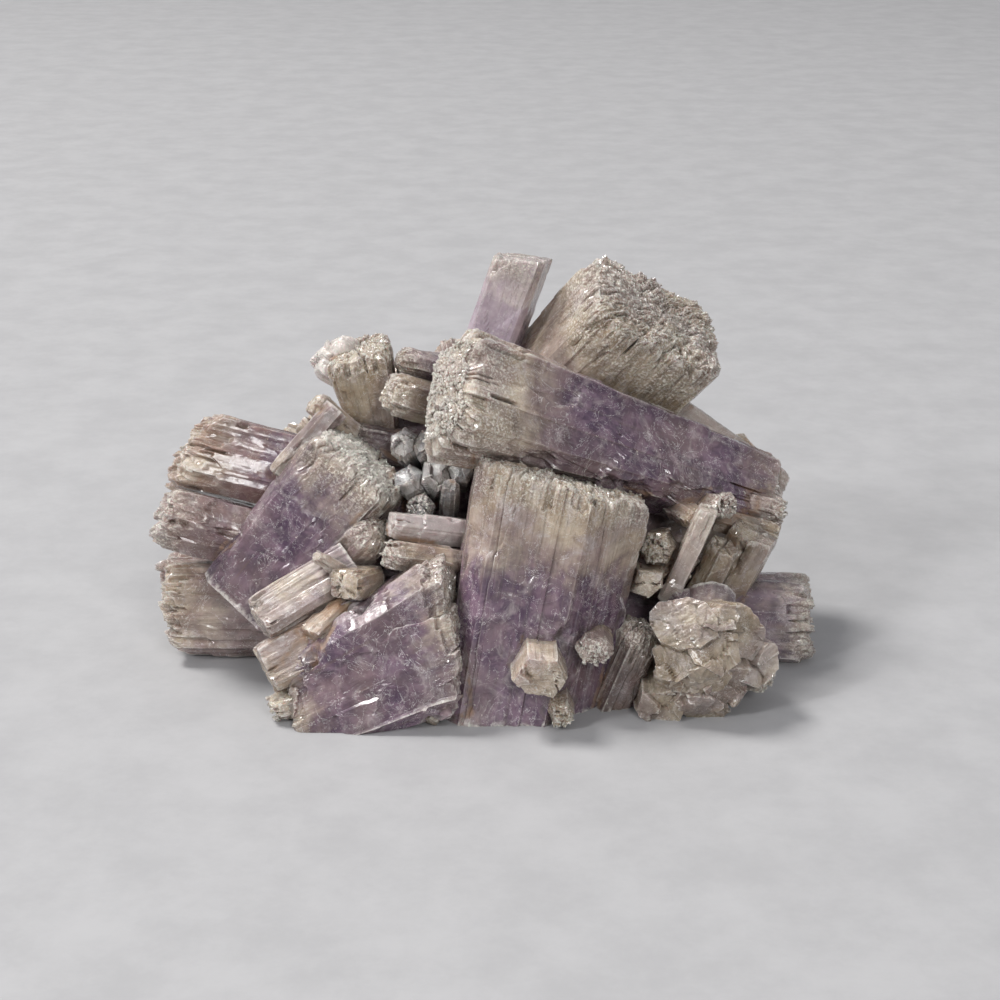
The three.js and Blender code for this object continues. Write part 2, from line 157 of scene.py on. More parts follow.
NODES = {
    "front_block": [
        crystal((1.7, -13, -3), (7.7, -6.8, 27.1), FRONT, 19.4, 14, section="bevel", dome=0.4, flare=1.1,
                tip_cut=(1.25, 0), mesh=0.2, step=0.6, block=2.6, relief=0.22, thatch=1.6, rib=1.4, reach=18,
                skin=0.3, fibre=0.01, swell=0.25, slots=16, slot=8, chips=9, grains=1, tan_tip=10,
                tan_foot=-2, bend=0.1, glassy=-2),
        small((4.6, -15, 7.8), (4.6, -22.3, 7.2), (0.3, 0.2, 1), 6.8, 6, section="shard", step=0.7,
              light=0.1),
        small((6.6, -14, 2.4), (6.6, -21, 1.4), UP, 4, 3.6, **ROUGH),
        small((10.6, -12, 9), (10.6, -19.5, 8.4), UP, 5.4, 3.2, **ROUGH),
        small((-2.6, -12, 2.5), (-3.1, -19, 1.2), UP, 5, 3.6, buried=True, tan_tip=2, clean=2,
              **dict(ROUGH, slots=0)),
    ],
    "front_left_slab": [
        crystal((-25.6, -16.6, -0.2), (-1.1, -12.9, 11.2), (0.1, -0.93, 0.35), 11.8, 8, section="block",
                flare=1.69, tip_cut=(3.4, 0), foot_cut=(-1.6, 0), mesh=0.2, step=0.9, block=2.4, relief=0.3,
                thatch=1.8, rib=3, reach=14, skin=0.08, fibre=0.01, swell=0.45, slots=7, slot=5,
                foot_open=True, tan_tip=5, tan_foot=2.5, chips=9, grains=0.4, glassy=-1.5),
        small((-5.6, -15, 3.5), (-8, -19.3, 0.2), FRONT, 3.2, 2.8),
        small((-3, -8, 15), (-13.6, -12.4, 18.2), (0.2, -0.7, 0.7), 4.4, 4.6, **ROUGH),
        small((-3, -6, 18), (-12.8, -9.8, 20.8), UP, 4, 4, section="wedge", light=0.5, tan_tip=-2,
              purple=0.8, glassy=9),
        small((-17, -15, 3.4), (-26.4, -17.8, 1.4), FRONT, 4.4, 4.4, **ROUGH),
        small((-15, -12, 10.4), (-26.8, -16.4, 5.4), (0, -0.8, 0.4), 6.6, 6, section="block", slots=4,
              rib=0.9, skin=0.16),
    ],
    "long_crystal": [
        crystal((33.6, 9.5, 16.4), (-7.3, -8.4, 36.5), (0.2, -0.75, 0.6), 10, 7.6, section="block", flare=1.5,
                mesh=0.24, block=2.4, step=0.8, dome=2, thatch=1.8, rib=1.5,
                reach=14, skin=0.16, fibre=0.01, swell=0.4, bend=0.15, slots=26, slot=10, pale_tip=0.25,
                glassy=-5, **SUGAR, tan_tip=11, foot_open=True, tan_foot=3, chips=10),
        crystal((34.6, 13.4, 15), (14, 9, 31), (0.2, -0.75, 0.6), 9, 8, foot_open=True, rib=0.8, skin=0.1,
                purple=0.35, light=0.25, tan_tip=0),
        small((28, 5, 17.6), (35, 3, 16.8), UP, 4.6, 4.4, **ROUGH),
        small((26, 3, 16.6), (33.6, 1.2, 14.8), UP, 4.2, 3.6),
        small((24, 3, 18.6), (26.6, -4.2, 20.6), UP, 5, 3.8, **ROUGH),
        small((21, 1, 18.6), (23, -6, 19.6), UP, 4, 3.2),
    ],
    "top_block": [
        crystal((3.8, 18.1, 20.6), (19.2, 8, 40.6), (0.03, -0.88, -0.47), 19.2, 14, section="block",
                mesh=0.21, cell=0.6, relief=0.2, wave=0.5, comb=0.5, block=3.4, step=0.6, dome=0.15,
                thatch=1.6, rib=1.2, reach=8, skin=0.24, fibre=0.01, swell=0.3, bend=0.55, slots=14, slot=7,
                grains=0.8, grain=0.17, tan_tip=15, chips=8, glassy=-4),
    ],
    "left_fan": [
        crystal((-10, 7.6, 16), (-39.8, 3.8, 25.6), (-0.2, -0.8, 0.55), 10, 10.6, section="block",
                tip_cut=(1.6, 0), slots=9, step=1.7, block=2, thatch=2, tan_tip=6, rib=1.4, skin=0.2,
                wave=0.3, warm=0.42, pale_tip=0.2),
        crystal((-15, 2.4, 10), (-40.6, -2, 19), (0, -0.7, 0.7), 8.4, 9.6, step=1.5, block=1.9, thatch=1.6,
                rib=2.4, tan_tip=2.5, slots=6, warm=0.25, pale_tip=0.2, chips=9),
        crystal((-14, 4, 5), (-42.8, 2.2, 6), (0, -1, 0.1), 11.8, 12, section="block",
                tip_cut=(-1.6, 0), step=1.6, block=2.6, slots=10, thatch=2.6, rib=1, skin=0.3, tan_tip=6,
                purple=0.6),
    ],
    "centre_left_crystal": [
        crystal((-30.4, -3.1, 8.6), (-14.8, -0.9, 26.4), (-0.1, -0.93, 0.35), 10.8, 10, section="block",
                flare=1.25, mesh=0.22, step=0.7, dome=1.6, thatch=1.4, rib=1.6, skin=0.12, bend=0.15,
                slots=12, slot=8, swell=0.35, **SUGAR, tan_tip=5, chips=7, pale_tip=0.75, glassy=-2),
        crystal((-22.4, -3, 9), (-13.2, -8.6, 20.4), (0, -0.8, 0.6), 6, 6, dome=1.4, tan_tip=4, rib=0.8),
        small((-19, 1, 31), (-26.2, -2.6, 23.6), FRONT, 3.4, 3.2, purple=0.6, tan_tip=1.5, light=0.05),
        small((-17.6, 3, 27), (-22.2, 1.8, 31.6), FRONT, 4, 3.6, light=0.1),
        small((-17, -9, 15.2), (-27.4, -14.6, 10.6), (0, -0.7, 0.7), 6, 5.4, section="block", light=0.12,
              tan_tip=7, slots=5, rib=0.9, skin=0.16),
        small((-17, -12, 12.2), (-21.2, -17, 9.6), UP, 3.6, 3.4, section="block", warm=0.8, light=0.1),
        small((-16, -10, 13.4), (-20.8, -14, 18.8), FRONT, 2.4, 2.4, light=0.3),
        small((-15, -9, 13.8), (-17.6, -15.2, 15.4), UP, 4.4, 3.8, section="block"),
    ],
    "lower_right_rosette": [
        small((24.4, -6, 3), (20.4, -17.6, 12.2), (0.2, 0.6, 1), 8.8, 6.8, **PLATE, light=-0.24, comb=0.6),
        small((25, -6, 3), (19.4, -18.4, 8.2), (-0.5, 0.4, 1), 6.4, 6, **SHARD, light=-0.25, comb=1.4),
        small((22, -6, 3), (24, -19.2, 9.6), (0.7, 0.4, 1), 7, 6, **SHARD, light=-0.05, comb=2.2),
        small((24, -6, 10), (22.4, -19.2, 5.2), (-0.5, -0.1, 1), 7.8, 5.6, **PLATE, light=-0.2, comb=0.9),
        small((21, -6, 9), (26, -18.2, 4.4), (0.5, -0.1, 1), 6.4, 6.6, **SHARD, light=-0.1, comb=1.9),
        small((25, -6, 7), (18.7, -17.6, 4.2), (-0.2, 0, 1), 5, 6, **SHARD, light=-0.3),
        small((23, -6, 8), (22.2, -18.4, 1.8), (0.2, 0, 1), 7, 4, **SHARD, light=-0.2, comb=1.2),
        small((23, -6, 6), (24.6, -18.2, 13), (0, 0, 1), 5, 4, **SHARD, light=-0.15, comb=2.6),
        small((22.6, -6, 7), (26.8, -16.8, 10.6), (0.4, 0, 1), 8, 7, **PLATE, light=-0.2, comb=0.3),
        small((25.6, -6, 4.6), (29, -17, 6.8), (0.6, 0, 1), 6.6, 6.6, **SHARD, light=0.2, comb=1),
        small((26.6, -6, 4.6), (30.2, -15.8, 3.8), (0.3, 0, 1), 5.4, 5, light=0.15, **ROUGH),
        small((18.4, -8, 2.6), (18.2, -18.2, 1.8), UP, 6.4, 5, **SHARD, light=-0.25, comb=1.7),
        small((23, -8, 2), (23.2, -17.4, 1.2), UP, 6.6, 4.6, **PLATE, light=-0.3, comb=0.8),
    ],
    "lower_dark_crystal": [
        crystal((11.6, -12.4, -3), (16.6, -11.4, 9.6), (0.2, -1, 0.1), 6.8, 7, rib=0.7, skin=0.3, tan_tip=1,
                purple=0.6, light=-0.25, slots=7),
    ],
    "right_side_crystal": [
        crystal((12, 4, 4.4), (38.4, 1, 4), FRONT, 10.4, 10, section="block", relief=0.5, step=1.4,
                block=2.2, slots=7, thatch=2.2, rib=2, tan_tip=2, light=0.1),
    ],
    "right_prisms": [
        crystal((18, 4, 7), (20.4, -5, 15), (0, 0.4, 1), 8, 6, tan_tip=20),
        small((19.6, -6.2, 10), (24, -7.2, 21.8), FRONT, 3, 3, section="block", purple=0.4, light=0.25,
              tan_tip=2, dome=0.1, slots=0),
        small((22.6, -2, 6), (26.4, -3.6, 16), (0.3, -1, 0.3), 4.6, 4.6),
        small((25.6, 1, 5), (30.4, -0.6, 16.6), (0.3, -1, 0.3), 7, 6, light=-0.1),
        small((17, -4, 12.6), (16.8, -11.4, 13.8), (0.3, 0.2, 1), 4.2, 4, section="wedge", light=0.1),
        small((19, -2, 15.4), (17.6, -9.2, 17.2), UP, 5, 4.2, **ROUGH),
    ],
    "pale_upright_crystal": [
        crystal((-6.6, 12, 20), (3.2, 14, 47), (-0.2, -1, 0.3), 6.2, 6, section="block", flare=1.1,
                tip_cut=(-0.9, 0), mesh=0.2, cell=1.6, relief=0.12, step=0.2, wave=0.06, dome=0.1,
                thatch=0.3, skin=0.1, rib=2.6, slots=1, tan_tip=4.5, light=0.26),
        small((-6, 10, 28), (-4.6, 9, 36.6), FRONT, 3.6, 3.4, light=0.5, **ROUGH),
    ],
    "upper_left_crystals": [
        crystal((-14.8, 8.4, 25.4), (-17.1, 8, 37.2), FRONT, 6.2, 7, section="block", flare=1.5, slots=8,
                slot=6, grains=1, tan_tip=20, rib=0.8),
        crystal((-2, 9, 22), (-20, 6.4, 26), FRONT, 8, 8, light=-0.15, tan_tip=0, rib=0.8),
        small((-17.6, 9, 33), (-19.8, 8.8, 38.2), FRONT, 5, 4.4, light=0.7, **LUMP),
        small((-15, 9, 31), (-22.6, 8.6, 35.4), FRONT, 5.2, 5, light=0.8, **LUMP),
        crystal((-3, 4.6, 28.8), (-14, 0.2, 33.6), (0, -0.9, 0.4), 5.8, 5.4, slots=6, tan_tip=7,
                purple=0.7, rib=0.8),
        crystal((-1, 7, 32), (-12.8, 5, 36.2), (0, -0.9, 0.4), 3.8, 5.4, tan_tip=1, skin=0.1),
        crystal((-1, 11, 32), (-13.4, 11, 33.6), FRONT, 3.8, 6, section="wedge", tan_tip=3, light=0.2,
                skin=0.1),
    ],
    "rear_top_crystal": [
        crystal((-1, 4, 20), (-5, 25.6, 28.6), (0, 0.3, 1), 16, 14, dome=2, grains=0.3, tan_tip=7, wave=0.3,
                **REAR),
        small((-8, 16, 25), (-14.4, 23, 28.4), (0.4, 0.4, 1), 5, 4.6),
        small((-2, 19, 28), (0.8, 23.4, 33), (1, 0, 0), 4.4, 4),
    ],
    "rear_right_block": [
        crystal((4, 4, 11), (27.6, 19.4, 13), (0.4, 0.5, 0.7), 17.4, 15, section="block", dome=1.4,
                grains=0.2, tan_tip=12, **REAR),
        crystal((4, 8, 16), (15, 25, 21.6), (0.2, 0.2, 1), 13, 12, tan_tip=5,
                **dict(REAR, slots=6, thatch=1.2)),
        small((20, 10, 16), (31.6, 15.6, 21.4), (0, 0.4, 1), 6, 5.4),
        small((20, 8, 6), (29, 18, 4), (0, 0.2, 1), 8, 7, section="wedge", **ROUGH),
    ],
    "rear_left_block": [
        crystal((-6, 4, 14), (-26.6, 18.6, 16.6), (-0.4, 0.6, 0.7), 17, 14, section="block", dome=1.4,
                tan_tip=6, grains=0.1, **REAR),
        small((-16, 10, 18), (-24, 14.4, 25.6), (-0.6, 0.8, 0), 5.6, 5.2),
        small((-20, 14, 8), (-31, 15.8, 7.4), (0, 1, 0), 7, 6.4, **ROUGH),
    ],
    "rear_low_right_block": [
        crystal((4, -4, 6), (12.6, 26.4, 5.2), (0.2, 0, 1), 17, 13, section="block", dome=1.2, tan_tip=6,
                **REAR),
        small((10, 16, 10), (17.4, 25, 14), (0, 0, 1), 6, 5.4),
    ],
    "rear_low_left_block": [
        crystal((-6, -5, 6), (-13, 25, 5.6), (-0.2, 0, 1), 17, 13.4, dome=1.6, grains=0.3, tan_tip=9, **REAR),
        small((-4, 16, 6), (-0.6, 26.8, 9.6), (0, 0, 1), 5.6, 5.4, **ROUGH),
    ],
    "grey_druse": [
        small((-10, 4, 24), (-11.6, -1.6, 28), FRONT, 4.6, 4.4, light=0.12, **LUMP),
        small((-8, 4, 24), (-8.2, -2.6, 28), (0.5, -1, 0.2), 5, 4.4, **LUMP),
        small((-6, 4, 25), (-4.8, -2.6, 28.6), (-0.4, -1, 0), 4.4, 4, light=0.1, **LUMP),
        small((-8, 2, 21), (-6.8, -4.6, 25.4), (0.3, -1, 0.3), 4.8, 4.4, light=0.2, **LUMP),
        small((-10, 2, 21), (-11, -4, 24), FRONT, 4.8, 4.2, light=0.05, **LUMP),
        small((-4.6, 1, 22), (-4.4, -4.6, 26), FRONT, 3.8, 3.6, light=-0.1, **LUMP),
        small((-9, 1, 18), (-9.4, -5.6, 21.4), FRONT, 4, 3.8, warm=0.2, **ROUGH),
        small((-6, -1, 17), (-5.6, -5.4, 24.4), FRONT, 3, 2.6, light=-0.3, rib=0.6, skin=0.2),
    ],
}


FAR = 9.0  # further than any cell's middle, in cells
MARGIN = 0.1  # how far a cell's middle keeps from its square's border, in cells
FINER = 2.03  # how much finer each octave of noise is than the one before

DOME_ZONE = 4.5  # how far the rounding of a rim reaches into an end
CREVICE = (0.28, 0.04)  # a crack between blocks starts and ends this far from their border
LEAST_KEPT = 0.3  # the relief leaves at least this share of a crystal's half width
LEVEL_FOOT = 3  # rings that close a foot that is hidden
END_ZONE = 4  # the rings lie closer together this near to an open end
NEAR_END_SPACING = 0.55  # their distance there, as a share of the usual one
TIP_POINT = 0.004  # size of an end's last ring, as a share of its rim
SEAM_LIMIT = 3.0  # distances to neighbouring crystals are stored up to this
SEARCH = 20  # how much further apart than their lengths two crystals' feet are still compared
PALE_ZONE = 4  # how far pale_tip reaches from the tip


def mixed(*whole, seed):
    """A repeatable random number from 0 to 1 for each set of whole numbers."""
    value = np.full(whole[0].shape, (seed * 2654435769) % 2**32, dtype=np.uint32)
    for number, factor in zip(whole, (2376512323, 3625449537, 3407524639)):
        value ^= number.astype(np.int64).astype(np.uint32) * np.uint32(factor)
        value ^= value >> np.uint32(15)
        value *= np.uint32(739982445)
        value ^= value >> np.uint32(12)
    value *= np.uint32(695872825)
    value ^= value >> np.uint32(15)
    return value / 2**32


def noise(points, size, seed, octaves=1):
    """Smooth noise from -1 to 1. size is the size of its lumps along each axis."""
    total = 0.0
    share = 1.0
    scaled = np.asarray(points) / np.asarray(size, dtype=float)
    for octave in range(octaves):
        low = np.floor(scaled)
        t = scaled - low
        t = t * t * (3 - 2 * t)
        value = 0.0
        axes = scaled.shape[1]
        for corner in range(2**axes):
            picked = [(corner >> k) & 1 for k in range(axes)]
            weight = 1.0
            for k, up in enumerate(picked):
                weight = weight * (t[:, k] if up else 1 - t[:, k])
            at = [low[:, k] + up for k, up in enumerate(picked)]
            value = value + weight * mixed(*at, seed=seed + octave)
        total = total + share * (2 * value - 1)
        share *= 0.5
        scaled = scaled * FINER
    return total


def mosaic(u, v, seed):
    """Voronoi cells one unit wide.

    Returns each point's cell number from 0 to 1, its distance from a border, and the height of a plane
    that slopes through the middle of the cell.
    """
    near, second = np.full(u.shape, FAR), np.full(u.shape, FAR)
    number, dx, dy = np.zeros(u.shape), np.zeros(u.shape), np.zeros(u.shape)
    left, low = np.floor(u), np.floor(v)
    for i in (-1, 0, 1):
        for j in (-1, 0, 1):
            a, b = left + i, low + j
            x = a + MARGIN + (1 - 2 * MARGIN) * mixed(a, b, seed=seed) - u
            y = b + MARGIN + (1 - 2 * MARGIN) * mixed(a, b, seed=seed + 1) - v
            away = np.hypot(x, y)
            closer = away < near
            second = np.where(closer, near, np.minimum(second, away))
            number = np.where(closer, mixed(a, b, seed=seed + 2), number)
            dx, dy = np.where(closer, x, dx), np.where(closer, y, dy)
            near = np.where(closer, away, near)
    plane = (number * 13 % 1 * 2 - 1) * dx + (number * 29 % 1 * 2 - 1) * dy
    return number, second - near, plane


def strips(u, v, seed):
    """Straight ribs about one unit wide, each broken across into lengths of about one unit.

    Returns each rib's number from 0 to 1, its distance from a border, and its height: ribs lean to one
    side or the other and step up or down where they break.
    """
    near, second = np.full(u.shape, FAR), np.full(u.shape, FAR)
    pick, off = np.zeros(u.shape), np.zeros(u.shape)
    for i in (-1, 0, 1):
        a = np.floor(u) + i
        away = a + mixed(a, seed=seed) - u
        far = np.abs(away)
        closer = far < near
        second = np.where(closer, near, np.minimum(second, far))
        pick, off = np.where(closer, a, pick), np.where(closer, away, off)
        near = np.where(closer, far, near)
    first, other, third = [mixed(pick, seed=seed + k) for k in (1, 2, 3)]
    broken = v + 7 * first
    length = np.floor(broken)
    step = mixed(pick, length, seed=seed + 4)
    height = first + (2 * other - 1) * off + 0.35 * step + 0.25 * (third - 0.5) * (broken - length)
    return first, second - near, height


def fade(value, low, high):
    """Rises smoothly from 0 at low to 1 at high, which may lie below low."""
    t = np.clip((value - low) / (high - low), 0, 1)
    return t * t * (3 - 2 * t)


def sides_of(c):
    """The section's sides at the foot: start, end, outward normal and distance from the axis."""
    corners = [Vector((u * c["width"] / 2, v * c["depth"] / 2)) for u, v in SECTIONS[c["section"]]]
    found = []
    for a, b in zip(corners, corners[1:] + corners[:1]):
        normal = Vector((b.y - a.y, a.x - b.x)).normalized()
        found.append((a, b, normal, a.dot(normal)))
    return found


def ends(c, x, y, seed):
    """Depth below the end's plane, tone and pitting of points (x, y) on an end."""
    flat = np.stack([x, y], 1)
    edge = np.full(x.shape, 99.0)
    for _, _, normal, away in sides_of(c):
        edge = np.minimum(edge, away - x * normal.x - y * normal.y)
    edge = np.maximum(edge, 0)
    drift = 0.35 * np.stack([noise(flat, 1.6, seed + 1), noise(flat, 1.6, seed + 2)], 1)
    bx, by = (flat + 1.5 * drift).T / c["block"]
    block, border, leaning = mosaic(bx + 7.3, by + 3.1, seed + 3)
    fx, fy = (flat + drift).T / c["cell"]
    column, gap, tilted = mosaic(fx, fy, seed + 6)
    _, _, crumb = mosaic(2.3 * fx, 2.3 * fy, seed + 15)
    co, si = math.cos(c["comb"]), math.sin(c["comb"])
    along, across = x * co + y * si, y * co - x * si
    across = across + c["curl"] * noise(flat, 2.6, seed + 9, 2)
    ripple = np.abs(noise(np.stack([along, across], 1), (2.4, 0.42), seed + 11, 2))
    depth = c["step"] * (block + 0.7 * leaning) + c["wave"] * ripple
    depth = depth + c["relief"] * (column + 0.8 * tilted + 0.5 * crumb)
    crevice = fade(border * c["block"], *CREVICE) * (block < c["crack"])
    depth = depth + crevice * (0.4 + c["relief"])
    depth = depth + c["dome"] * np.maximum(0, 1 - edge / DOME_ZONE) ** 2
    pit = np.maximum(0.8 * crevice, 0.35 * fade(c["relief"] * column + c["wave"] * ripple, 0.34, 0.66))
    pit = np.maximum(pit, 0.2 * fade(gap, 0.14, 0.02))
    return depth, 0.5 * block + 0.5 * column, pit


def slope(c, cut, x, y):
    """How far a slanting end lies below the tip at (x, y)."""
    half = (c["width"] / 2, c["depth"] / 2)
    return abs(cut[0]) + abs(cut[1]) - cut[0] * x / half[0] - cut[1] * y / half[1]


def flank(c, s, x, y, z, seed):
    """How far the sides are set in, their tone and their pitting, at height z and s along the outline."""
    rng = random.Random(seed)
    body = np.stack([x, y, z], 1)
    bend = c["bend"] * noise(body, (6, 6, 14), seed + 21, 2)
    u, v = (s + bend) / c["rib"], z / c["reach"]
    plate, seam, ribbed = strips(0.6 * u, 0.7 * v, seed + 23)
    hair, line, narrow = strips(1.9 * u + 5, 1.6 * v, seed + 26)
    facet, _, slab = mosaic((s + bend) / 4.5 + 3, z / 7, seed + 35)
    deep = c["skin"] * ribbed + 0.3 * c["skin"] * narrow
    deep = deep + c["fibre"] * noise(body, 0.7, seed + 29, 2)
    deep = deep + c["swell"] * (0.5 + 0.5 * facet + 0.7 * slab)
    pit = 0.25 * fade(seam, 0.1, 0.0)
    column = np.floor(1.4 * u)
    first, other = mixed(column, seed=seed + 41), mixed(column, seed=seed + 42)
    run = float(s.max())
    ends_at = [(c["length"] - z, 1.0)]
    if c["foot_open"]:
        ends_at.append((z, 0.6))
    for from_end, share in ends_at:
        near = fade(from_end, 5, 0)
        short = from_end < first**1.5 * c["thatch"] * 2.2
        deep = deep + short * c["thatch"] * (0.08 + 0.25 * other)
        deep = deep + 0.3 * c["dome"] * fade(from_end, 1.4, 0) ** 2
        pit = np.maximum(pit, near * fade(line, 0.25, 0.05) * 0.6)
        for _ in range(int(c["slots"] * share + 0.5)):
            at = rng.uniform(0, run)
            long = c["slot"] * rng.uniform(0.25, 0.7)
            start = c["slot"] * rng.uniform(-0.3, 0.35)
            wide = rng.uniform(0.06, 0.16)
            spindle = 1 - ((from_end - start - long / 2) / (long / 2)) ** 2
            gash = np.clip(1.2 - 1.2 * np.abs(s + bend - at) / wide, 0, 1) * np.clip(2 * spindle, 0, 1)
            deep = deep + rng.uniform(0.2, 0.9) * gash
            pit = np.maximum(pit, fade(gash, 0.05, 0.5))
    patchy = 0.5 + 0.5 * np.clip(noise(body, (3, 3, 6), seed + 31), -1, 1)
    return deep, 0.75 * plate + 0.25 * (0.5 + (hair - 0.5) * 2 * patchy), pit


def chips_of(c, seed):
    """Balls that bite the crystal's edges: centres and radii."""
    rng = random.Random(seed)
    corners = [a for a, _, _, _ in sides_of(c)]
    scale = 0.5 if c["width"] < 7 else 1
    found = []
    for _ in range(c["chips"]):
        corner = rng.choice(corners)
        radius = scale * rng.uniform(0.7, 1.9)
        out = 1 + rng.uniform(0.3, 0.7) * radius / corner.length
        found.append((corner.x * out, corner.y * out, rng.uniform(0.1, 0.98) * c["length"], radius))
    return found


def cap_steps(c):
    """Number of rings that close an open end."""
    return max(4, int(min(c["width"], c["depth"]) * c["flare"] / 2 / c["mesh"]))


def grow(c, seed):
    """The crystal's skin in its own frame: x across, y towards the face, z from the foot.

    It is a closed tube of rings with the same number of points each: the foot's end, the sides and the
    tip's end. Returns the rings' points, their tone and pitting.
    """
    length, grown = c["length"], c["flare"]
    outline, runs, away = [], [], []
    run = 0.0
    for a, b, normal, distance in sides_of(c):
        size = (b - a).length
        count = max(2, round(size * max(1, grown) / c["mesh"]))
        for k in range(count):
            t = k / count
            outline.append(a.lerp(b, t))
            runs.append(run + size * t)
            away.append(distance)
        run += size
    outline = np.array(outline)
    runs = np.array(runs)
    away = np.array(away)
    n = len(outline)

    heights = [0.0]
    while heights[-1] < length - 0.2:
        near = min(length - heights[-1], heights[-1] if c["foot_open"] else length)
        spacing = c["along"] if near > END_ZONE else NEAR_END_SPACING * c["along"]
        heights.append(min(length, heights[-1] + spacing))
    if heights[-1] < length:
        heights[-1] = length
    share = np.array(heights) / length
    m = len(share)

    def inset(z):
        """The outline at heights z (one a point), drawn in by the relief of the sides."""
        x, y = np.tile(outline, (len(z) // n, 1)).T
        s = np.tile(runs, len(z) // n)
        deep, tone, pit = flank(c, s, x, y, z, seed)
        for cx, cy, cz, radius in chips_of(c, seed + 5):
            lump = radius * (1 + 0.25 * noise(np.stack([x, y, z], 1), 0.9, seed + 37))
            bite = lump - np.sqrt((x - cx) ** 2 + (y - cy) ** 2 + ((z - cz) / 1.7) ** 2)
            deep = deep + np.maximum(0, bite)
            pit = np.maximum(pit, 0.25 * fade(bite, 0, 0.3))
        far = np.tile(away, len(z) // n)
        kept = np.maximum(1 - deep / far, LEAST_KEPT)
        return x * kept, y * kept, tone, pit

    def rim(at_tip):
        """How far the rim of an end lies inside the crystal's full length."""
        z = np.full(n, length if at_tip else 0.0)
        x, y, _, _ = inset(z)
        depth, _, _ = ends(c, x, y, seed + (0 if at_tip else 50))
        cut = c["tip_cut"] if at_tip else c["foot_cut"]
        return depth + slope(c, cut, x, y)

    top = length - rim(True)
    low = rim(False) if c["foot_open"] else np.zeros(n)
    z = (low[None, :] + share[:, None] * (top - low)[None, :]).ravel()
    nominal = np.repeat(share * length, n)
    x, y, tone, pit = inset(nominal)
    rings = [np.stack([x, y, z, tone, pit], 1).reshape(m, n, 5)]

    def end(ring, at_tip):
        """Rings that close an end, from its rim to its middle."""
        plain = not at_tip and not c["foot_open"]
        steps = LEVEL_FOOT if plain else cap_steps(c)
        notched = np.hypot(ring[:, 0], ring[:, 1]) / np.hypot(outline[:, 0], outline[:, 1])
        made = []
        for k in range(1, steps + 1):
            scale = 1 - k / steps if k < steps else TIP_POINT
            kept = np.minimum(scale, notched * (1 - 0.1 * k / steps))
            x, y = outline[:, 0] * kept, outline[:, 1] * kept
            if plain:
                made.append(np.stack([x, y, ring[:, 2], ring[:, 3], ring[:, 4]], 1))
                continue
            depth, tone, pit = ends(c, x, y, seed + (0 if at_tip else 50))
            cut = c["tip_cut"] if at_tip else c["foot_cut"]
            depth = depth + slope(c, cut, x, y)
            made.append(np.stack([x, y, length - depth if at_tip else depth, tone, pit], 1))
        return made

    under = end(rings[0][0], False)[::-1]
    over = end(rings[0][-1], True)
    return np.concatenate([np.array(under), rings[0], np.array(over)])


def tube(rings):
    """Triangles of a closed tube of rings, with a fan at each end."""
    m, n = rings.shape[:2]
    r, k = np.meshgrid(np.arange(m - 1), np.arange(n), indexing="ij")
    a = (r * n + k).ravel()
    b = (r * n + (k + 1) % n).ravel()
    faces = [np.stack([a, b, b + n], 1), np.stack([a, b + n, a + n], 1)]
    k = np.arange(1, n - 1)
    top = (m - 1) * n
    faces.append(np.stack([k * 0, k + 1, k], 1))
    faces.append(np.stack([k * 0 + top, top + k, top + k + 1], 1))
    return np.concatenate(faces)


def outside_by(c, world):
    """Distance of points (mm, world) outside the crystal's plain prism; negative inside."""
    local = (world - np.array(c["foot"])) @ c["axes"].T
    z = local[:, 2]
    share = 1 + (c["flare"] - 1) * np.clip(z / c["length"], 0, 1)
    low = slope(c, c["tip_cut"], local[:, 0] / share, local[:, 1] / share)
    gap = np.maximum(z - c["length"] + low, -z)
    for _, _, normal, away in sides_of(c):
        gap = np.maximum(gap, local[:, 0] * normal.x + local[:, 1] * normal.y - away * share)
    return gap


ALL = [c for crystals in NODES.values() for c in crystals]


def new_mesh(name, points, faces, values):
    """A mesh in metres of triangles between points in mm, with a vector of each value at its corners."""
    mesh = bpy.data.meshes.new(name)
    mesh.vertices.add(len(points))
    mesh.vertices.foreach_set("co", (points * MM).astype(np.float32).ravel())
    mesh.loops.add(faces.size)
    mesh.loops.foreach_set("vertex_index", faces.astype(np.int32).ravel())
    mesh.polygons.add(len(faces))
    mesh.polygons.foreach_set("loop_start", np.arange(0, faces.size, 3, dtype=np.int32))
    mesh.update(calc_edges=True)
    corner = faces.ravel()
    for key, value in values.items():
        attribute = mesh.attributes.new(key, "FLOAT_VECTOR", "CORNER")
        attribute.data.foreach_set("vector", value[corner].astype(np.float32).ravel())
    return mesh


def mesh_of(name, c, local, tone, pit, faces, offset):
    """A mesh of points in the crystal's frame, spread to its flare and moved to its place.

    grow is the place in the crystal, for its textures. zone is how far the point lies below the tan tip
    and above the tan foot, and the strength of the purple. tint is tone, pitting and light; pits are darkened
    with grime and painted shade. tale is the distance from the tip, the distance from other crystals, near
    which grime and painted shade darken the seams, and the iron stain.
    """
    placed = local.copy()
    share = 1 + (c["flare"] - 1) * np.clip(local[:, 2] / c["length"], 0, 1)
    placed[:, 0] *= share
    placed[:, 1] *= share
    world = placed @ c["axes"] + np.array(c["foot"])
    seam = np.full(len(world), SEAM_LIMIT)
    for other in ALL:
        reach = other["length"] + c["length"] + SEARCH
        if other is not c and not other["buried"] and (other["foot"] - c["foot"]).length < reach:
            seam = np.minimum(seam, np.abs(outside_by(other, world)))
    from_tip = c["length"] - local[:, 2]
    same = np.ones(len(local))
    values = {
        "grow": placed + offset,
        "zone": np.stack([from_tip - c["tan_tip"], local[:, 2] - c["tan_foot"], same * c["purple"]], 1),
        "tint": np.stack([tone, pit, c["light"] + c["pale_tip"] * fade(from_tip, PALE_ZONE, 0)], 1),
        "tale": np.stack([from_tip + c["glassy"], seam + c["clean"], same * c["warm"]], 1),
    }
    return new_mesh(name, world, faces, values)


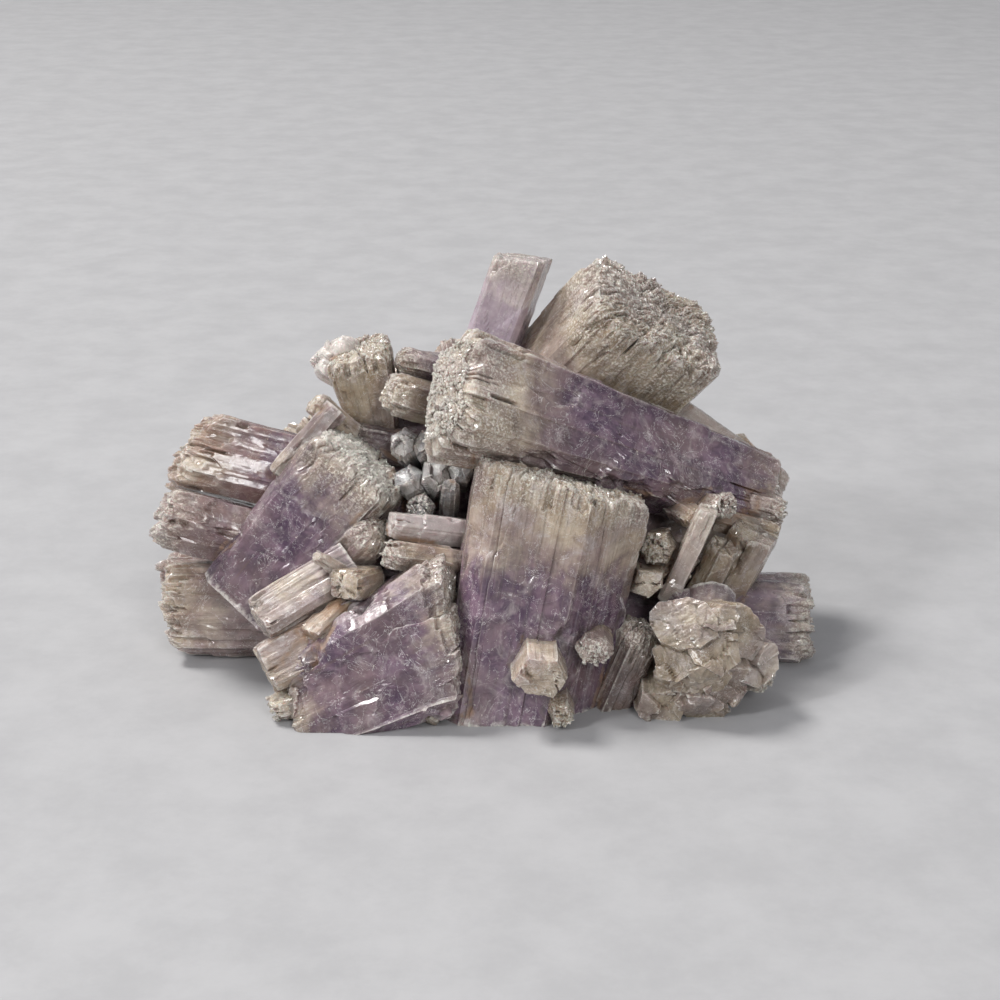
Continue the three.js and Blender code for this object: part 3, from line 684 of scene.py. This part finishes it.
def loose(c, rings, seed):
    """Grains that sit on an open end, shared out so that no two in one set touch."""
    rng = random.Random(seed)
    area = c["width"] * c["depth"] * c["flare"] ** 2
    count = int(c["grains"] * area)
    sets = []
    n = rings.shape[1]
    steps = cap_steps(c)
    for _ in range(count):
        k = min(steps - 1, int(steps * (1 - math.sqrt(rng.random()))))
        x, y, z = rings[len(rings) - steps + k, rng.randrange(n), :3]
        radius = c["grain"] * rng.uniform(0.5, 1.1) / c["flare"]
        place = Vector((x, y, z))
        axis = Vector((rng.gauss(0, 0.6), rng.gauss(0, 0.6), 1)).normalized()
        for points, taken in sets:
            if all((place - q).length > 2 * (radius + r) for q, r in taken):
                break
        else:
            points, taken = [], []
            sets.append((points, taken))
        taken.append((place, radius))
        points.append((grain_rings(rng, place, axis, radius), rng.random()))
    return [points for points, _ in sets]


def grain_rings(rng, place, axis, radius):
    """A small broken blade or block of crystal."""
    side = axis.orthogonal().normalized()
    side.rotate(Quaternion(axis, rng.random() * math.tau))
    other = axis.cross(side)
    thin = rng.uniform(0.35, 0.9)
    corners = [(rng.uniform(0.75, 1.2) * u, rng.uniform(0.75, 1.2) * v) for u, v in GRAIN]
    tall = radius * rng.uniform(0.9, 1.7)
    slant = (rng.uniform(-0.6, 0.6), rng.uniform(-0.6, 0.6))
    rings = []
    for height, share in ((-1, 0.8), (0.75, 1), (1, 0.7)):
        ring = []
        for u, v in corners:
            x, y = radius * share * u, radius * share * v * thin
            z = height * tall + (slant[0] * x + slant[1] * y if height > 0 else 0)
            ring.append(place + axis * z + side * x + other * y)
        rings.append(ring)
    return rings


def grain_mesh(name, c, grains, offset):
    """One mesh of loose grains that don't touch."""
    points, faces, tones = [], [], []
    single = tube(np.zeros((3, len(GRAIN), 3)))
    for rings, tone in grains:
        faces.append(single + len(points))
        points += [tuple(p) for ring in rings for p in ring]
        tones += [tone] * (3 * len(GRAIN))
    tones = np.array(tones)
    return mesh_of(name, c, np.array(points), tones, 0 * tones, np.concatenate(faces), offset)


def combined(first, others, operation):
    """first joined with, cut by or cut to the other meshes; all of them are used up."""
    group = bpy.data.collections.new("work")
    bpy.context.scene.collection.children.link(group)
    base = bpy.data.objects.new("work", first)
    bpy.context.scene.collection.objects.link(base)
    objects = [base]
    for mesh in others:
        ob = bpy.data.objects.new("work", mesh)
        group.objects.link(ob)
        objects.append(ob)
    modifier = base.modifiers.new("work", "BOOLEAN")
    modifier.operation = operation
    modifier.solver = "MANIFOLD"
    modifier.operand_type = "COLLECTION"
    modifier.collection = group
    graph = bpy.context.evaluated_depsgraph_get()
    made = bpy.data.meshes.new_from_object(base.evaluated_get(graph))
    for ob in objects:
        mesh = ob.data
        bpy.data.objects.remove(ob)
        bpy.data.meshes.remove(mesh)
    bpy.data.collections.remove(group)
    return made


def read(collection, key, width, kind=np.float32):
    values = np.empty(len(collection) * width, dtype=kind)
    collection.foreach_get(key, values)
    return values.reshape(-1, width)


def past_box(mesh):
    """Whether a mesh reaches past the CAD model's box."""
    points = read(mesh.vertices, "co", 3)
    return (points.min(0) < np.array(cad_box[0])).any() or (points.max(0) > np.array(cad_box[1])).any()


def mark_edges(mesh):
    """Stores how far each vertex stands out from its neighbours: above 0 on edges, below 0 in grooves."""
    n = len(mesh.vertices)
    points, normals = read(mesh.vertices, "co", 3) / MM, read(mesh.vertex_normals, "vector", 3)
    pairs = read(mesh.edges, "vertices", 2, np.int32)
    a, b = np.concatenate([pairs, pairs[:, ::-1]]).T
    away = points[b] - points[a]
    size = np.sqrt((away**2).sum(1))
    total = np.bincount(a, size, n) + 1e-6
    wear_glint_and_shade = np.bincount(a, -(away * normals[a]).sum(1), n) / total
    wear_glint_and_shade = 0.5 * wear_glint_and_shade + 0.5 * np.bincount(a, size * wear_glint_and_shade[b], n) / total
    # The material paints vertices above 0 pale, as wear and a painted glint, and those below 0 dark, as
    # painted shade.
    mesh.attributes.new("wear_glint_and_shade", "FLOAT", "POINT").data.foreach_set("value", wear_glint_and_shade.astype(np.float32))


def box_mesh():
    """The CAD model's box."""
    low, high = np.array(cad_box[0]) / MM, np.array(cad_box[1]) / MM
    span = list(zip(low, high))
    points = np.array([(x, y, z) for x in span[0] for y in span[1] for z in span[2]])
    quads = [(0, 1, 3, 2), (4, 6, 7, 5), (0, 4, 5, 1), (2, 3, 7, 6), (0, 2, 6, 4), (1, 5, 7, 3)]
    faces = np.array([t for a, b, c, d in quads for t in ((a, b, c), (a, c, d))])
    return new_mesh("box", points, faces, {})


BROWN = (0.3, 0.215, 0.18)
VEIL = (0.6, 0.53, 0.52)
CRACK_WHITE = (0.9, 0.87, 0.85)
# Pale for edges that stick out: wear, and a painted glint where they catch the light.
PALE = (0.84, 0.79, 0.76)
WORN_AND_GLINT = (0.86, 0.81, 0.74)
# Painted shade in grooves.
HOLLOW_SHADE = (0.13, 0.09, 0.065)
HAIRLINE = (0.16, 0.11, 0.075)
# Pale grains and crumbs, partly a painted glint.
GRAIN_AND_GLINT_WHITE = (0.95, 0.88, 0.78)
# Dark of grime, and painted shade, in pits, slots and seams.
DIRT_AND_SHADE = (0.1, 0.08, 0.065)
RUST = (0.36, 0.215, 0.13)
TAN_SHADE = (0.68, 0.62, 0.54)  # the darker tan, as shares of the tan

IOR = 1.6
SCATTER_DEPTH = 0.0016  # metres
SCATTER_COLOUR = (1.0, 0.75, 0.85)
COAT = 0.5
COAT_ROUGHNESS = 0.06
BUMP_HEIGHT = 0.00035  # metres


class Nodes:
    """Builds a material's node tree: each call adds a node and returns the output that is used on."""

    def __init__(self, name):
        self.material = bpy.data.materials.new(name)
        self.material.use_nodes = True
        self.tree = self.material.node_tree
        self.shader = self.tree.nodes["Principled BSDF"]

    def put(self, socket, value):
        if isinstance(value, bpy.types.NodeSocket):
            self.tree.links.new(value, socket)
        elif isinstance(value, tuple) and socket.type == "RGBA":
            socket.default_value = (*value, 1)
        else:
            socket.default_value = value

    def add(self, kind, inputs, output=0, **settings):
        node = self.tree.nodes.new("ShaderNode" + kind)
        for key, value in settings.items():
            setattr(node, key, value)
        for key, value in inputs.items():
            self.put(node.inputs[key], value)
        return node.outputs[output]

    def math(self, operation, *values):
        return self.add("Math", dict(enumerate(values)), operation=operation)

    def attribute(self, name):
        return self.add("Attribute", {}, "Vector", attribute_name=name)

    def part(self, vector, index):
        return self.add("SeparateXYZ", {0: vector}, index)

    def stretched(self, vector, by):
        return self.add("Mapping", {"Vector": vector, "Scale": by})

    def noise(self, vector, scale, detail=3, roughness=0.55, distortion=0):
        inputs = {"Vector": vector, "Scale": scale, "Detail": detail, "Roughness": roughness,
                  "Distortion": distortion}
        return self.add("TexNoise", inputs)

    def ramp(self, value, low, high, to_low=0.0, to_high=1.0, smooth=True):
        inputs = {"Value": value, "From Min": low, "From Max": high, "To Min": to_low, "To Max": to_high}
        kind = "SMOOTHSTEP" if smooth else "LINEAR"
        return self.add("MapRange", inputs, interpolation_type=kind)

    def mix(self, factor, a, b, blend="MIX"):
        return self.add("Mix", {0: factor, 6: a, 7: b}, 2, data_type="RGBA", blend_type=blend)

    def off_middle(self, value, by, base=0.0):
        """base plus a noise's deviation from its mean, times by."""
        return self.math("MULTIPLY_ADD", self.math("SUBTRACT", value, 0.5), by, base)

    def line(self, value, width):
        """Thin lines where a noise crosses its mean."""
        return self.ramp(self.math("ABSOLUTE", self.math("SUBTRACT", value, 0.5)), 0.0, width, 1.0, 0.0)

    def times(self, *values):
        product = values[0]
        for value in values[1:]:
            product = self.math("MULTIPLY", product, value)
        return product


def aragonite(name, tan, purple, deep, stain=0.8, clear=0.12, soft=0.5, brown=0.4):
    """tan is the colour of the ends, purple and deep those of the middle.

    stain and brown are how much iron stain and brownish purple there is, clear the share of light that
    passes through and soft the share that scatters inside.
    """
    n = Nodes(name)
    grow, zone, tint, tale = [n.attribute(key) for key in ("grow", "zone", "tint", "tale")]
    tone, pit, light = n.part(tint, 0), n.part(tint, 1), n.part(tint, 2)
    from_tip, seam, warm = n.part(tale, 0), n.part(tale, 1), n.part(tale, 2)

    cloud = n.noise(grow, 0.28, 5, 0.6, 0.6)
    broad = n.noise(grow, 0.13, 3, 0.5)
    streak = n.noise(n.stretched(grow, (1.1, 1.1, 0.05)), 1.0, 3, 0.6)
    fine = n.noise(n.stretched(grow, (5.0, 5.0, 0.12)), 1.0, 2, 0.6)
    grain = n.noise(grow, 2.4, 5, 0.7)

    # How far inside the purple zone a point lies: the border is cloudy and runs out in streaks.
    depth = n.math("MINIMUM", n.part(zone, 0), n.part(zone, 1))
    ragged = n.off_middle(cloud, 14.0, depth)
    ragged = n.off_middle(streak, 6.0, ragged)
    inner = n.ramp(ragged, -4.5, 5.5)
    violet = n.math("MULTIPLY", inner, n.part(zone, 2))

    body = n.mix(n.ramp(n.noise(grow, 0.35, 4, 0.6, 0.8), 0.36, 0.62), purple, deep)
    body = n.mix(n.times(n.ramp(broad, 0.42, 0.66), brown), body, BROWN)
    tan_dark = tuple(x * y for x, y in zip(tan, TAN_SHADE))
    end = n.mix(n.ramp(n.off_middle(streak, 0.15, cloud), 0.36, 0.64), tan, tan_dark)
    end = n.mix(n.times(n.ramp(broad, 0.45, 0.65), 0.45), end, purple)
    colour = n.mix(violet, end, body)

    # Whitish veils and healed cracks inside the crystal.
    veil = n.ramp(n.noise(grow, 0.33, 6, 0.68, 0.9), 0.5, 0.7)
    colour = n.mix(n.times(veil, 0.5), colour, VEIL)
    healed = n.line(n.noise(grow, 0.24, 5, 0.6, 1.4), 0.006)
    webs = n.times(n.line(n.noise(grow, 0.7, 4, 0.65, 0.6), 0.012), n.ramp(cloud, 0.5, 0.62))
    colour = n.mix(n.times(n.math("MAXIMUM", healed, webs), 0.6), colour, CRACK_WHITE)

    # Each lamella, streak and grain has its own lightness.
    near_end = n.ramp(from_tip, 0.5, 9.0, 1.0, 0.0)
    fibrous = n.math("MULTIPLY_ADD", inner, -0.7, 1.0)
    level = n.off_middle(tone, 0.42, 1.0)
    level = n.off_middle(streak, n.times(fibrous, 0.2), level)
    level = n.off_middle(fine, n.times(fibrous, 0.32), level)
    level = n.off_middle(grain, n.math("MULTIPLY_ADD", near_end, 0.5, 0.3), level)
    level = n.off_middle(n.noise(grow, 0.45, 5, 0.65), 0.8, level)
    level = n.math("MAXIMUM", n.math("ADD", level, n.math("MINIMUM", light, 0.0)), 0.25)
    colour = n.mix(n.ramp(light, 0.0, 1.0, smooth=False), colour, PALE)
    colour = n.mix(1.0, colour, n.add("CombineColor", {0: level, 1: level, 2: level}), "MULTIPLY")

    # Edges that stick out are painted pale, partly as wear and partly as a painted glint where they catch the
    # light; grooves are darkened with painted shade.
    wear_glint_and_shade = n.add("Attribute", {}, "Fac", attribute_name="wear_glint_and_shade")
    colour = n.mix(n.times(n.ramp(wear_glint_and_shade, 0.05, 0.26), n.ramp(grain, 0.3, 0.6), 0.75), colour, WORN_AND_GLINT)
    colour = n.mix(n.ramp(wear_glint_and_shade, -0.05, -0.22, 0.0, 0.45), colour, HOLLOW_SHADE)

    # Brown hairlines between fibres, closer together near the ends.
    hairs = n.line(n.noise(n.stretched(grow, (1.3, 1.3, 0.05)), 1.0, 2, 0.5, 0.2), 0.016)
    hairs = n.times(hairs, n.ramp(grain, 0.42, 0.56), n.math("MULTIPLY_ADD", near_end, 0.55, 0.15))
    colour = n.mix(hairs, colour, HAIRLINE)

    # The broken ends are sugary: pale grains, and white crumbs lie all over. These pale spots are partly
    # painted glints.
    speck_and_glint = n.ramp(n.noise(grow, 3.4, 3, 0.65), 0.48, 0.64)
    sugar = n.times(speck_and_glint, n.ramp(n.off_middle(cloud, 5.0, from_tip), 1.0, 5.0, 1.0, 0.0), 0.95)
    crumb = n.ramp(n.noise(grow, 2.0, 4, 0.75), 0.66, 0.7)
    frost = n.times(n.ramp(light, 0.3, 0.8), n.ramp(grain, 0.3, 0.6))
    pale = n.math("MAXIMUM", n.math("MAXIMUM", sugar, n.times(crumb, 0.9)), n.times(frost, near_end))
    colour = n.mix(pale, colour, GRAIN_AND_GLINT_WHITE)

    # Grime and painted shade darken the pits, the slots and the seams between crystals, and iron stains the
    # seams and the pits.
    meeting = n.ramp(n.off_middle(cloud, 1.2, seam), 0.0, 0.5, 1.0, 0.0)
    patch = n.ramp(n.noise(n.add("TexCoord", {}, "Object"), 150.0, 5, 0.7), 0.48, 0.62)
    rusty = n.times(patch, n.math("MAXIMUM", meeting, n.times(pit, 0.8)), stain)
    rusty = n.math("MAXIMUM", rusty, n.times(warm, n.ramp(cloud, 0.35, 0.6)))
    dirt_and_shade = n.times(n.math("MAXIMUM", pit, n.times(meeting, 0.75)), 0.7)
    colour = n.mix(dirt_and_shade, colour, DIRT_AND_SHADE)
    colour = n.mix(rusty, colour, RUST)
    n.put(n.shader.inputs["Base Color"], colour)

    rough = n.ramp(n.noise(grow, 0.8, 4, 0.65), 0.3, 0.7, 0.05, 0.28, False)
    rough = n.math("ADD", rough, n.times(dirt_and_shade, 0.4))
    n.put(n.shader.inputs["Roughness"], rough)
    n.shader.inputs["IOR"].default_value = IOR
    n.shader.inputs["Subsurface Weight"].default_value = soft
    n.shader.inputs["Subsurface Radius"].default_value = SCATTER_COLOUR
    n.shader.inputs["Subsurface Scale"].default_value = SCATTER_DEPTH
    n.shader.inputs["Transmission Weight"].default_value = clear
    n.shader.inputs["Coat Weight"].default_value = COAT
    n.shader.inputs["Coat Roughness"].default_value = COAT_ROUGHNESS

    height = n.noise(grow, 0.4, 2, 0.5)
    height = n.math("MULTIPLY_ADD", n.times(fine, fibrous), 0.28, height)
    height = n.math("MULTIPLY_ADD", n.times(grain, n.math("MULTIPLY_ADD", near_end, 0.6, 0.12)), 0.8, height)
    height = n.math("MULTIPLY_ADD", hairs, -0.5, height)
    height = n.math("MULTIPLY_ADD", pale, 0.2, height)
    bump = n.add("Bump", {"Height": height, "Strength": 1.0, "Distance": BUMP_HEIGHT})
    n.put(n.shader.inputs["Normal"], bump)
    return n.material


MATERIALS = {
    "purple_crystal": aragonite("purple_aragonite", (0.6, 0.5, 0.39), (0.225, 0.147, 0.2),
                                (0.096, 0.057, 0.098)),
    "tan_crystal": aragonite("tan_aragonite", (0.535, 0.45, 0.345), (0.26, 0.19, 0.21), (0.15, 0.105, 0.13)),
    "pale_crystal": aragonite("pale_aragonite", (0.7, 0.6, 0.52), (0.5, 0.38, 0.48), (0.36, 0.25, 0.36),
                              clear=0.25, soft=0.4, brown=0.15),
    "grey_druse": aragonite("grey_druse", (0.4, 0.4, 0.4), (0.34, 0.36, 0.4), (0.22, 0.235, 0.27)),
}

SLOTS = {
    "top_block": "tan_crystal", "lower_right_rosette": "tan_crystal", "right_prisms": "tan_crystal",
    "upper_left_crystals": "tan_crystal", "rear_right_block": "tan_crystal",
    "rear_low_left_block": "tan_crystal", "pale_upright_crystal": "pale_crystal",
    "grey_druse": "grey_druse",
}

SMOOTH_UNDER = math.radians(16)
FIRST_SEED = 12

seed = FIRST_SEED
for node, crystals in NODES.items():
    parts = []
    grains = []
    for c in crystals:
        offset = np.array([seed * 7.3, seed * 3.1, 0.0])  # sets the crystals' textures apart
        rings = grow(c, seed * 100)
        flat = rings.reshape(-1, 5)
        parts.append(mesh_of(node, c, flat[:, :3], flat[:, 3], flat[:, 4], tube(rings), offset))
        grains += [grain_mesh(node, c, some, offset) for some in loose(c, rings, seed)]
        seed += 1
    parts += grains
    mesh = combined(parts[0], parts[1:], "UNION") if len(parts) > 1 else parts[0]
    if past_box(mesh):
        mesh = combined(mesh, [box_mesh()], "INTERSECT")
    mesh.name = node + "_columns"
    mark_edges(mesh)
    mesh.shade_smooth()
    mesh.set_sharp_from_angle(angle=SMOOTH_UNDER)
    slot = SLOTS.get(node, "purple_crystal")
    mesh.materials.clear()
    mesh.materials.append(MATERIALS[slot])
    piece = bpy.data.objects.new(node + "_columns", mesh)
    bpy.context.scene.collection.objects.link(piece)
    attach(piece, "root")
    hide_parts(node)


def area_light(name, place, aim, size, power, colour=(1, 1, 1)):
    """size in metres, power in watts."""
    light = bpy.data.lights.new(name, "AREA")
    light.shape = "RECTANGLE"
    light.size, light.size_y = size
    light.energy = power
    light.color = colour
    ob = bpy.data.objects.new(name, light)
    ob.location = place
    ob.rotation_euler = (Vector(aim) - Vector(place)).to_track_quat("-Z", "Y").to_euler()
    bpy.context.scene.collection.objects.link(ob)


floor_mesh = bpy.data.meshes.new("floor")
floor_mesh.from_pydata([(-9, -3, 0), (9, -3, 0), (9, 12, 0), (-9, 12, 0)], [], [(0, 1, 2, 3)])
floor = bpy.data.objects.new("floor", floor_mesh)
bpy.context.scene.collection.objects.link(floor)
stone = Nodes("floor")
mark = stone.noise(stone.add("TexCoord", {}, "Object"), 90.0, 8, 0.7)
shade = stone.mix(stone.ramp(mark, 0.3, 0.7), (0.34, 0.338, 0.346), (0.385, 0.383, 0.391))
stone.put(stone.shader.inputs["Base Color"], shade)
stone.shader.inputs["Roughness"].default_value = 0.7
floor_mesh.materials.append(stone.material)

world = bpy.data.worlds.new("world")
bpy.context.scene.world = world
world.use_nodes = True
sky = world.node_tree
towards = sky.nodes.new("ShaderNodeTexCoord").outputs["Generated"]
height = sky.nodes.new("ShaderNodeSeparateXYZ")
ramp = sky.nodes.new("ShaderNodeValToRGB")
ramp.color_ramp.elements[0].position = 0.0
ramp.color_ramp.elements[0].color = (0.2, 0.2, 0.215, 1)
ramp.color_ramp.elements[1].position = 0.9
ramp.color_ramp.elements[1].color = (0.95, 0.96, 1.0, 1)
sky.links.new(towards, height.inputs[0])
sky.links.new(height.outputs["Z"], ramp.inputs[0])
sky.links.new(ramp.outputs[0], sky.nodes["Background"].inputs["Color"])
sky.nodes["Background"].inputs["Strength"].default_value = 0.5
bpy.context.scene.view_settings.view_transform = "Standard"

MIDDLE = (0, 0, 0.02)
area_light("key", (-0.8, 0.35, 1.5), MIDDLE, (0.45, 0.45), 29, (1, 0.985, 0.96))
area_light("fill", (0.5, -1.4, 0.9), MIDDLE, (0.4, 0.4), 9.5)
area_light("window", (-0.75, -0.55, 0.6), MIDDLE, (0.12, 0.3), 5)

LOOKS_DOWN = 20.6  # degrees
camera = bpy.data.cameras.new("camera")
camera.sensor_width = 36
camera.lens = 70.2
eye = bpy.data.objects.new("camera", camera)
eye.location = (0.0021, -0.21819, 0.10092)
eye.rotation_euler = (math.radians(90 - LOOKS_DOWN), 0, 0)
bpy.context.scene.collection.objects.link(eye)
bpy.context.scene.camera = eye
